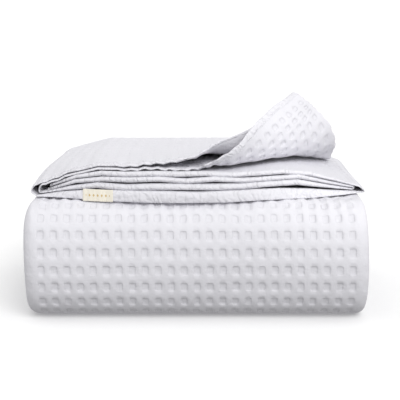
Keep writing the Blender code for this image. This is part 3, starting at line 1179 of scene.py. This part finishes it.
@dataclass(frozen=True)
class ThreadFinish:
    """Sewing thread: a fine twist over its colour.

    Args:
        colour: Its colour.
        twist_size: Size of the twist's marks.
        twist_height: Their height.
    """

    colour: tuple[float, float, float, float] = (0.80, 0.80, 0.83, 1.0)
    twist_size: float = 0.0008
    twist_height: float = 0.0001

    def made(self, name: str) -> bpy.types.Material:
        """Makes the material, on the piece's own coordinates.

        Args:
            name: The material's name.

        Returns:
            The material.
        """
        material, nodes = Nodes.of_material(name)
        twist = nodes.noise(self.twist_size, 1.0, (1.0, 1.0, 3.0))
        nodes.bump((twist - 0.5) * self.twist_height)
        darker = tuple(0.9 * part for part in self.colour[:3]) + (1.0,)
        nodes.feed(nodes.shader.inputs["Base Color"], nodes.mix(twist, darker, self.colour))
        nodes.constants(Roughness=0.7)
        return material


@dataclass(frozen=True)
class FloorFinish:
    """A plain pale studio floor.

    Args:
        colour: Its colour.
        glow: How strongly it shines of its own, which keeps it white far away.
    """

    colour: tuple[float, float, float, float] = (0.97, 0.97, 0.97, 1.0)
    glow: float = 0.08

    def made(self, name: str) -> bpy.types.Material:
        """Makes the material.

        Args:
            name: The material's name.

        Returns:
            The material.
        """
        material, nodes = Nodes.of_material(name)
        tone = nodes.noise(0.4, 1.0) * 0.01
        darker = tuple(0.97 * part for part in self.colour[:3]) + (1.0,)
        nodes.feed(nodes.shader.inputs["Base Color"], nodes.mix(tone, self.colour, darker))
        white = (1.0, 1.0, 1.0, 1.0)
        nodes.constants(Roughness=0.9, Emission_Color=white, Emission_Strength=self.glow)
        return material


@dataclass
class BlanketCloth:
    """The folded sheet of waffle weave cotton with its hems.

    Args:
        fold: The fold's middle surface.
        uneven: The soft unevenness of the whole fold.
        origin: The middle of the footprint, in the fold's own coordinates.
        hem_width: Width of the hems.
        hem_slope: Width over which a hem's height falls back to the cloth's.
        nose: How far from its edge a hem's rounded front reaches.
        seam_inset: How far the seam lies within a hem's width.
        seam_reach: Half the width of the groove that it draws in.
        seam_depth: Depth of that groove.
        smooth_top: How much relief the cells keep where the cloth lies smooth on top.
        bottom_from: v where the bottom pass has begun.
        front_to: v where the block's front and top end.
        foot: v over which the cells come back above the foot of the front fold.
        fold_fade: Distances from a side fold of the front over which the cells come back.
        hem_fade: Distances from a hem over which they do.
        column_at: x of the middle of a column of cells on the front.
        row_at: Length from the start of the bottom pass to the middle of a row of cells.
        fine_parts: Parts of a cell at which the fine blocks have mesh lines.
        fine_areas: What shows: the front fold, the upper pass and the turned-up corner, from and to in u
            and from and to in v.
        row_widths: Width of cloth in each run and turn.
        row_spacings: Distance between mesh lines in each.
        even_from: Least spacing of runs and legs whose lines are even and don't follow the cells.
        even_to: Greatest spacing of legs that are short bends, whose lines are even too.
        hem_lines: Distances from a hem's edge at which mesh lines run.
        fine_end: Distance from a hem's edge at which the cells' mesh lines end.
        lines_apart: Least distance between a fine line and the next, in u and v.
    """

    fold: StripFold
    uneven: Unevenness
    origin: Array
    hem_width: float = 0.0100
    hem_slope: float = 0.0030
    nose: float = 0.0048
    seam_inset: float = 0.001
    seam_reach: float = 0.0009
    seam_depth: float = 0.0002
    smooth_top: float = 0.35
    bottom_from: float = 4.5
    front_to: float = 8.6
    foot: tuple[float, float] = (5.16, 5.42)
    fold_fade: tuple[float, float] = (-0.001, 0.003)
    hem_fade: tuple[float, float] = (0.001, 0.005)
    column_at: float = 0.2053
    row_at: float = 0.3392
    fine_parts: tuple[float, ...] = (0.21, 0.29, 0.42, 0.58, 0.71, 0.79)
    fine_areas: tuple[tuple[float, float, float, float], ...] = (
        (1.0, 4.0, 5.0, 8.25), (3.0, 6.0, 9.0, 12.0), (6.0, 6.68, 10.2, 12.0),
    )
    row_widths: tuple[float, ...] = (
        0.376, 0.033, 0.396, 0.046, 0.386, 0.012, 0.373, 0.027, 0.360, 0.010, 0.351,
    )
    row_spacings: tuple[float, ...] = (
        0.032, 0.006, 0.032, 0.006, 0.008, 0.0025, 0.008, 0.005, 0.032, 0.003, 0.032,
    )
    even_from: float = 0.02
    even_to: float = 0.008
    hem_lines: tuple[float, ...] = (
        0.0, 0.0002, 0.0007, 0.0015, 0.0028, 0.0044, 0.0065, 0.0080, 0.0090, 0.0100,
    )
    fine_end: float = 0.0120
    lines_apart: float = 0.002
    waffle: Waffle = field(init=False)

    def __post_init__(self) -> None:
        """Lays the waffle cells out on the cloth."""
        self.s_at = np.concatenate(([0.0], np.cumsum(self.row_widths)))
        self.t_at = np.concatenate(([0.0], np.cumsum([leg.cloth_length for leg in self.fold.legs])))
        run_start = self.fold.section[2, 2] - self.origin[0]
        start_across = self.s_at[2] + run_start - self.column_at + 0.5 * Waffle.across
        start_along = self.t_at[4] + self.row_at + 0.5 * Waffle.along
        self.waffle = Waffle(
            start_across=start_across % Waffle.across, start_along=start_along % Waffle.along
        )

    def places(self, u: Array, v: Array) -> tuple[Array, Array]:
        """Places on the flat cloth: the widths of the rows and the lengths of the legs, added up.

        Args:
            u: Rows of the section passed.
            v: Legs passed from the hidden end.

        Returns:
            The places s across and t along, in metres.
        """
        return (
            np.interp(u, np.arange(len(self.s_at)), self.s_at),
            np.interp(v, np.arange(len(self.t_at)), self.t_at),
        )

    def lines_across(self) -> MeshLines:
        """Lays out the mesh lines across the cloth.

        Returns:
            As masters, the sides and middles of the cells where they show and even lines elsewhere, with
            the finer lines of the hollows between them.
        """
        rows = np.arange(len(self.s_at))
        masters = [rows[[0, -1]].astype(float)]
        for row, (width, spacing) in enumerate(zip(self.row_widths, self.row_spacings)):
            if row % 2 or spacing > self.even_from:
                count = max(2, round(width / spacing))
                masters.append(np.linspace(row, row + 1, count + 1))
            else:
                cells = self.waffle.lines_across(self.s_at[row], self.s_at[row + 1], (0.0, 0.5))
                masters.append(np.interp(cells, self.s_at, rows))
                masters.append(np.array((float(row), row + 1.0)))
        fine = self.waffle.lines_across(0.0, self.s_at[-1], (0.0, *self.fine_parts))
        fine = np.interp(fine, self.s_at, rows)
        return MeshLines.merged(np.concatenate(masters), fine, self.lines_apart)

    def lines_along(self) -> MeshLines:
        """Lays out the mesh lines along the cloth.

        Returns:
            The same as across, with the hem's own lines among the masters.
        """
        legs = np.arange(len(self.t_at))
        masters = [legs[[0, -1]].astype(float)]
        for index, leg in enumerate(self.fold.legs):
            if self.even_to < leg.spacing < self.even_from:
                cells = self.waffle.lines_along(self.t_at[index], self.t_at[index + 1], (0.0, 0.5))
                masters.append(np.interp(cells, self.t_at, legs))
            else:
                count = max(1, round(leg.cloth_length / leg.spacing))
                masters.append(np.linspace(index, index + 1, count + 1))
        masters.append(np.interp(self.t_at[-1] - np.array(self.hem_lines), self.t_at, legs))
        fine = self.waffle.lines_along(0.0, self.t_at[-1] - self.fine_end, (0.0, *self.fine_parts))
        fine = np.interp(fine, self.t_at, legs)
        return MeshLines.merged(np.concatenate(masters), fine, self.lines_apart)

    def fine_blocks(self, across: MeshLines, along: MeshLines) -> Array:
        """Picks the blocks of the mesh whose middle lies in a fine area.

        Args:
            across: Mesh lines across.
            along: Mesh lines along.

        Returns:
            Which cells between the masters are fine, across and along.
        """
        u, v = across.values[across.masters], along.values[along.masters]
        u, v = ((u[1:] + u[:-1]) / 2)[:, None], ((v[1:] + v[:-1]) / 2)[None, :]
        areas = [
            (u > u_low) & (u < u_high) & (v > v_low) & (v < v_high)
            for u_low, u_high, v_low, v_high in self.fine_areas
        ]
        return np.any(areas, axis=0)

    def side(self, u: Array, v: Array, which: Side) -> Array:
        """Works out one face of the cloth.

        Each face lies half a thickness from the middle. A hem stands out further by its own measure, times
        the height that is left over there, and its front is rounded as a quarter of an ellipse.

        Args:
            u: Rows of the section passed.
            v: Legs passed from the hidden end.
            which: The face.

        Returns:
            Its points (x, y, z), along the last axis.
        """
        _, t = self.places(u, v)
        from_hem = self.t_at[-1] - t
        values = self.fold.hem_values(u)
        row, _, rise = self.fold.rows_of(u)
        forward = np.where((row // 2) % 2 == 0, 1.0, 0.0)
        forward = forward + (1.0 - 2.0 * forward) * rise
        over, under = values[..., 5], values[..., 4]
        outer_extra = forward * over + (1.0 - forward) * under
        extra = outer_extra if which is Side.OUTER else over + under - outer_extra
        into_nose = (self.nose - np.minimum(from_hem, self.nose)) / self.nose
        nose = np.sqrt(np.clip(1.0 - into_nose**2, 0.02, 1.0))
        hem = 1.0 - smooth(from_hem, self.hem_width, self.hem_width + self.hem_slope)
        seam = np.exp(-(((from_hem - self.hem_width + self.seam_inset) / self.seam_reach) ** 2))
        middle = self.fold.middle(u, v)
        x, upper = middle[..., 0], self.fold.upper_share(v)
        lifted = self.fold.lifted_share(row, upper, x, middle[..., 1])
        _, spare = self.fold.openness(x, v, upper, lifted)
        open_share = np.clip(spare / self.fold.left_over(self.fold.hem_height), 0.0, 1.0)
        depth = nose * (self.fold.cloth / 2 + extra * hem * open_share)
        depth = depth - self.seam_depth * seam * open_share
        return middle + which.value * self.fold.normal(u, v) * depth[..., None]

    def unpressed(self, u: Array, v: Array, s: Array) -> Array:
        """Works out how much of its relief a cell keeps.

        It keeps none where the cloth bends under the block or round a side fold of its front, and less
        where the top layers lie smooth.

        Args:
            u: Rows of the section passed.
            v: Legs passed from the hidden end.
            s: Place across the cloth.

        Returns:
            The share that it keeps.
        """
        row = np.clip(np.floor(u).astype(int), 0, len(self.row_widths) - 1)
        low, high = self.s_at[row], self.s_at[row + 1]
        from_fold = np.where(row % 2 == 0, np.minimum(s - low, high - s), 0.0)
        front = (v < self.front_to) & (row >= 1) & (row <= 3)
        beside = np.where(front, smooth(from_fold, *self.fold_fade), 1.0)
        lying = (v > self.front_to) & ((row == 0) | (row == 4))
        below = (v > self.bottom_from) & (v < self.front_to)
        bent_under = np.where(below, smooth(v, *self.foot), 1.0)
        return beside * bent_under * np.where(lying, self.smooth_top, 1.0)

    def clear_of_hem(self, t: Array) -> Array:
        """0 on a hem and 1 on the open cloth."""
        low, high = self.hem_fade
        return smooth(self.t_at[-1] - t, self.hem_width + low, self.hem_width + high)

    def made(self, finish: CottonFinish) -> bpy.types.Object:
        """Builds the cloth as one closed mesh.

        Args:
            finish: What the cloth looks like.

        Returns:
            The finished piece.
        """
        across, along = self.lines_across(), self.lines_along()
        grid = ClothGrid(across, along, self.fine_blocks(across, along))
        i, j = grid.outer_points()
        u, v = across.values[i], along.values[j]
        s, t = self.places(u, v)
        outer = self.side(u, v, Side.OUTER)
        fine = grid.cells_around()[:, i, j]
        kept = self.unpressed(u, v, s)
        dip = self.waffle.depth * self.waffle.hollow(s, t) * fine.all(axis=0)
        dip = dip * self.clear_of_hem(t) * kept
        outer = outer + self.fold.normal(u, v) * dip[:, None]

        wide, long_ = np.meshgrid(
            across.values[across.masters], along.values[along.masters], indexing="ij"
        )
        inner = self.side(wide, long_, Side.INNER).reshape(-1, 3)
        inner_s, inner_t = self.places(wide.ravel(), long_.ravel())
        points = np.concatenate((outer, inner)) - self.origin
        piece = new_mesh("blanket_cloth", self.uneven.shifted(points), grid.faces())
        places = np.stack((np.concatenate((s, inner_s)), np.concatenate((t, inner_t))), axis=-1)
        set_uv(piece, places)
        only_bump = np.where(fine.any(axis=0), 0.0, 1.0)
        set_attribute(piece, BUMP_SHARE, np.concatenate((only_bump, np.ones(len(inner)))))
        inner_kept = self.unpressed(wide.ravel(), long_.ravel(), inner_s)
        kept = np.concatenate((kept, inner_kept)) * self.clear_of_hem(places[:, 1])
        set_attribute(piece, CELL_SHARE, kept)
        piece.data.materials.append(finish.made(self.waffle, "waffle_cotton"))
        return piece


def bead_faces(count: int, rings: int, sides: int) -> list[list[int]]:
    """Lists the faces of beads, their two ends closed.

    Args:
        count: How many beads there are.
        rings: Rings of points along a bead.
        sides: Points of a ring.

    Returns:
        The faces, for points in an array of beads, rings and sides.
    """
    ring = np.arange(rings - 1)[:, None] * sides
    side = np.arange(sides)[None, :]
    after = (side + 1) % sides
    quads = np.stack((ring + side, ring + after, ring + sides + after, ring + sides + side), axis=-1)
    quads = quads.reshape(-1, 4)[None] + (np.arange(count) * rings * sides)[:, None, None]
    first = np.arange(sides)[::-1][None] + (np.arange(count) * rings * sides)[:, None]
    last = np.arange(sides)[None] + (np.arange(count) * rings * sides + (rings - 1) * sides)[:, None]
    return [*quads.reshape(-1, 4).tolist(), *first.tolist(), *last.tolist()]


@dataclass
class HemStitches:
    """The seam that holds down the hems of the top layers.

    Each stitch is a thin bead: a ring of points is carried along the seam, its radius and its height rising
    and falling as a sine over the stitch.

    Args:
        cloth: The cloth that it is sewn in.
        first: u where the seam starts.
        last: u where it ends.
        length: Length of a stitch.
        pitch: Distance from stitch to stitch.
        raised: Height of a stitch's middle over the cloth.
        thick: Its radius there.
        blunt: Part of the sine that is left out at both ends.
        rings: Rings of points along it.
        sides: Points of a ring.
    """

    cloth: BlanketCloth
    first: float = 3.4
    last: float = 6.9
    length: float = 0.0028
    pitch: float = 0.0040
    raised: float = 0.00035
    thick: float = 0.00042
    blunt: float = 0.12
    rings: int = 5
    sides: int = 6

    def beads(self) -> Array:
        """Works out the stitches on the cloth's outer face.

        Returns:
            Their points, in an array of stitches, rings and sides.
        """
        cloth = self.cloth
        rows = np.arange(len(cloth.s_at))
        s_low, s_high = np.interp((self.first, self.last), rows, cloth.s_at)
        starts = np.arange(s_low, s_high - self.length, self.pitch)
        shares = np.linspace(0.0, 1.0, self.rings)
        u = np.interp(starts[:, None] + self.length * shares[None, :], cloth.s_at, rows)
        seam_at = cloth.t_at[-1] - cloth.hem_width + cloth.seam_inset
        v = np.full(u.shape, np.interp(seam_at, cloth.t_at, np.arange(len(cloth.t_at))))
        centre = cloth.side(u, v, Side.OUTER)[:, :, None, :]
        normal = -cloth.fold.normal(u, v)
        step = cloth.side(u + SLOPE_STEP, v, Side.OUTER) - cloth.side(u - SLOPE_STEP, v, Side.OUTER)
        step /= np.linalg.norm(step, axis=-1, keepdims=True)
        aside, normal = np.cross(step, normal)[:, :, None, :], normal[:, :, None, :]
        swell = np.sin(np.pi * (self.blunt + (1.0 - 2 * self.blunt) * shares))[None, :, None, None]
        angle = np.linspace(0.0, 2 * math.pi, self.sides, endpoint=False)[None, None, :, None]
        ring = np.cos(angle) * aside + np.sin(angle) * normal
        return centre + normal * self.raised * swell + self.thick * swell * ring

    def made(self, finish: ThreadFinish) -> bpy.types.Object:
        """Builds all stitches as one mesh.

        Args:
            finish: What the thread looks like.

        Returns:
            The finished piece.
        """
        points = self.beads()
        flat = self.cloth.uneven.shifted(points.reshape(-1, 3) - self.cloth.origin)
        piece = new_mesh("hem_stitches", flat, bead_faces(*points.shape[:3]))
        piece.data.materials.append(finish.made("hem_thread"))
        return piece


@dataclass
class WovenLabel:
    """The small label on the lowest hem.

    Args:
        fold: The fold that it is sewn to.
        uneven: The soft unevenness of the whole fold.
        origin: The middle of the footprint, in the fold's own coordinates.
        x: Middle of the label.
        width: Its width.
        height: Its height.
        bottom: Height of its lower edge.
        thick: Its thickness.
        clear: Its distance from the hem.
        lean: How far its upper edge leans back.
        rounding: How far its rounded edge reaches.
        steps: Distances from its edges at which mesh lines run.
        plain_from: Distances from its edges, across and up, from which they are even.
    """

    fold: StripFold
    uneven: Unevenness
    origin: Array
    x: float = -0.121
    width: float = 0.0385
    height: float = 0.0150
    bottom: float = 0.1467
    thick: float = 0.0009
    clear: float = 0.0004
    lean: float = 0.0016
    rounding: float = 0.0012
    steps: tuple[float, ...] = (0.0, 0.0004, 0.0012)
    plain_from: tuple[float, float] = (0.004, 0.003)

    def lines(self, size: float, plain_from: float, count: int) -> Array:
        """Places of mesh lines from 0 to size, the same from both edges: the steps, then count even ones."""
        places = np.concatenate((self.steps, np.linspace(plain_from, size - plain_from, count)))
        return np.concatenate((places, size - places))

    def made(self, finish: LabelFinish) -> bpy.types.Object:
        """Builds the label: a slab that follows the hem's bow, its edges rounded as quarter ellipses.

        Args:
            finish: What the label looks like.

        Returns:
            The finished piece.
        """
        across = np.unique(self.lines(self.width, self.plain_from[0], 15))
        up = np.unique(np.round(self.lines(self.height, self.plain_from[1], 5), 6))
        s, t = np.meshgrid(across, up, indexing="ij")
        x = self.x - self.width / 2 + s
        hem = self.fold.hems[0]
        hem_y = self.fold.hem_front + hem.bow * (x - self.fold.hem_middle) ** 2
        edge = np.minimum(np.minimum(s, self.width - s), np.minimum(t, self.height - t))
        into_edge = 1.0 - np.minimum(edge / self.rounding, 1.0)
        round_ = np.sqrt(np.clip(1.0 - into_edge**2, 0.04, 1.0))
        lean = self.lean * ((t / self.height) ** 2)
        middle = hem_y - self.clear - self.thick / 2 + lean
        z = self.bottom + t
        front = np.stack((x, middle - self.thick / 2 * round_, z), axis=-1)
        back = np.stack((x, middle + self.thick / 2 * round_, z), axis=-1)
        rows, columns = s.shape
        index = np.arange(rows * columns).reshape(rows, columns)
        quads = np.stack((index[:-1, :-1], index[1:, :-1], index[1:, 1:], index[:-1, 1:]), axis=-1)
        quads = quads.reshape(-1, 4)
        rim = np.concatenate((index[:-1, 0], index[-1, :-1], index[:0:-1, -1], index[0, :0:-1]))
        after = np.roll(rim, -1)
        count = rows * columns
        walls = np.stack((after, rim, rim + count, after + count), axis=-1)
        points = np.concatenate((front.reshape(-1, 3), back.reshape(-1, 3))) - self.origin
        faces = [*quads.tolist(), *(quads[:, ::-1] + count).tolist(), *walls.tolist()]
        piece = new_mesh("woven_label", self.uneven.shifted(points), faces)
        places = np.stack((s.ravel(), t.ravel()), axis=-1)
        set_uv(piece, np.concatenate((places, places)))
        piece.data.materials.append(finish.made("label_satin", self.width, self.height))
        return piece


@dataclass(frozen=True)
class Studio:
    """Floor, light and camera.

    Args:
        focal: Focal length of the camera in millimetres.
        pitch: How far it looks down, in degrees.
        distance: Its distance in front of the block.
        height: Its height.
        aside: Its distance from the block's middle, to the right.
        above: Strength of the light from above.
        below: Strength of the light from below.
        horizon: How far over and under the horizon the one turns into the other.
        sun: Strength of the wide soft light.
        sun_width: Its width in degrees.
        sun_turn: Its rotation in degrees.
        fill: Power of the weak light that fills the shade under the turned-up corner.
        fill_size: Its size.
        fill_spread: Its spread in degrees.
        fill_place: Where it stands.
        fill_aim: Where it points.
        floor_reach: How far the floor reaches.
        floor_gap: How far it lies under the block.
    """

    focal: float = 97.4
    pitch: float = 10.9
    distance: float = 1.281
    height: float = 0.403
    aside: float = 0.0028
    above: float = 0.77
    below: float = 0.36
    horizon: float = 0.25
    sun: float = 1.41
    sun_width: float = 35.0
    sun_turn: tuple[float, float, float] = (50.0, 0.0, 24.0)
    fill: float = 0.018
    fill_size: float = 0.06
    fill_spread: float = 15.0
    fill_place: tuple[float, float, float] = (0.80, -0.90, 0.20)
    fill_aim: tuple[float, float, float] = (0.100, -0.03, 0.205)
    floor_reach: float = 150.0
    floor_gap: float = 0.0002

    def add_floor(self) -> None:
        """A wide pale floor just under the block."""
        square = np.array(((-1, -1, 0), (1, -1, 0), (1, 1, 0), (-1, 1, 0)))
        corners = self.floor_reach * square + np.array((0.0, 0.0, CAD_BOX[0].z - self.floor_gap))
        floor = new_mesh("floor", corners, [[0, 1, 2, 3]])
        floor.data.materials.append(FloorFinish().made("floor"))
        floor.visible_diffuse = False
        floor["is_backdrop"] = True

    def add_sky(self) -> None:
        """White light from all round, even above the horizon and weaker below it."""
        world = bpy.data.worlds.new("studio")
        world.use_nodes = True
        nodes = Nodes(world.node_tree)
        way = nodes.add("ShaderNodeTexCoord", {}, {}).outputs["Generated"]
        height = nodes.value("ShaderNodeSeparateXYZ", {}, {0: way}, "Z")
        strength = self.below + (self.above - self.below) * height.step(-self.horizon, self.horizon)
        background = world.node_tree.nodes["Background"]
        background.inputs["Color"].default_value = (1.0, 1.0, 1.0, 1.0)
        nodes.feed(background.inputs["Strength"], strength)
        bpy.context.scene.world = world

    def add_sun(self) -> None:
        """One wide soft light from above, in front and a little to the right."""
        light = bpy.data.lights.new("soft_sun", "SUN")
        light.energy = self.sun
        light.angle = math.radians(self.sun_width)
        lamp = bpy.data.objects.new("soft_sun", light)
        lamp.rotation_euler = tuple(math.radians(turn) for turn in self.sun_turn)
        bpy.context.scene.collection.objects.link(lamp)

    def add_fill(self) -> None:
        """A small weak light from the right, in front, at the shade under the turned-up corner."""
        light = bpy.data.lights.new("fill", "AREA")
        light.size = self.fill_size
        light.energy = self.fill
        light.spread = math.radians(self.fill_spread)
        lamp = bpy.data.objects.new("fill", light)
        lamp.location = self.fill_place
        way = np.array(self.fill_aim) - np.array(self.fill_place)
        level = math.hypot(way[0], way[1])
        lamp.rotation_euler = (math.atan2(level, -way[2]), 0.0, math.atan2(-way[0], way[1]))
        bpy.context.scene.collection.objects.link(lamp)

    def add_camera(self) -> None:
        """The camera, level across and looking slightly down."""
        camera = bpy.data.cameras.new("camera")
        camera.lens = self.focal
        camera.sensor_width = 36.0
        holder = bpy.data.objects.new("camera", camera)
        holder.location = (self.aside, CAD_BOX[0].y - self.distance, self.height)
        holder.rotation_euler = (math.radians(90.0 - self.pitch), 0.0, 0.0)
        bpy.context.scene.collection.objects.link(holder)
        bpy.context.scene.camera = holder

    def made(self) -> None:
        """Sets up the whole studio."""
        self.add_floor()
        self.add_sky()
        self.add_sun()
        self.add_fill()
        self.add_camera()
        view = bpy.context.scene.view_settings
        view.view_transform = "Standard"


def report(piece: bpy.types.Object, node: str | None) -> None:
    """Puts a piece on the body, hides the CAD node that it replaces, if any, and logs it.

    Args:
        piece: The finished piece.
        node: The CAD node that it replaces, if any.
    """
    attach(piece, "root")
    if node:
        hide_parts(node)
    corners = [len(face.vertices) - 2 for face in piece.data.polygons]
    LOG.info("%s: %d points, %d triangles", piece.name, len(piece.data.vertices), sum(corners))


def main() -> None:
    """Builds the blanket, its stitches and its label, and then the studio round them."""
    logging.basicConfig(level=logging.INFO, format="%(name)s %(message)s")
    fold = StripFold()
    uneven = Unevenness()
    origin = np.array(FOOTPRINT_MIDDLE)
    cloth = BlanketCloth(fold, uneven, origin)
    blanket = cloth.made(CottonFinish(edge=float(cloth.t_at[-1])))
    report(blanket, "blanket")
    stitches = HemStitches(cloth).made(ThreadFinish())
    report(stitches, None)
    label = WovenLabel(fold, uneven, origin).made(LabelFinish())
    report(label, "label")
    Studio().made()
    boxes = {"cad": CAD_BOX, "visual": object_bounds()}
    boxes = {name: [list(corner) for corner in box] for name, box in boxes.items()}


if __name__ == "__main__":
    main()
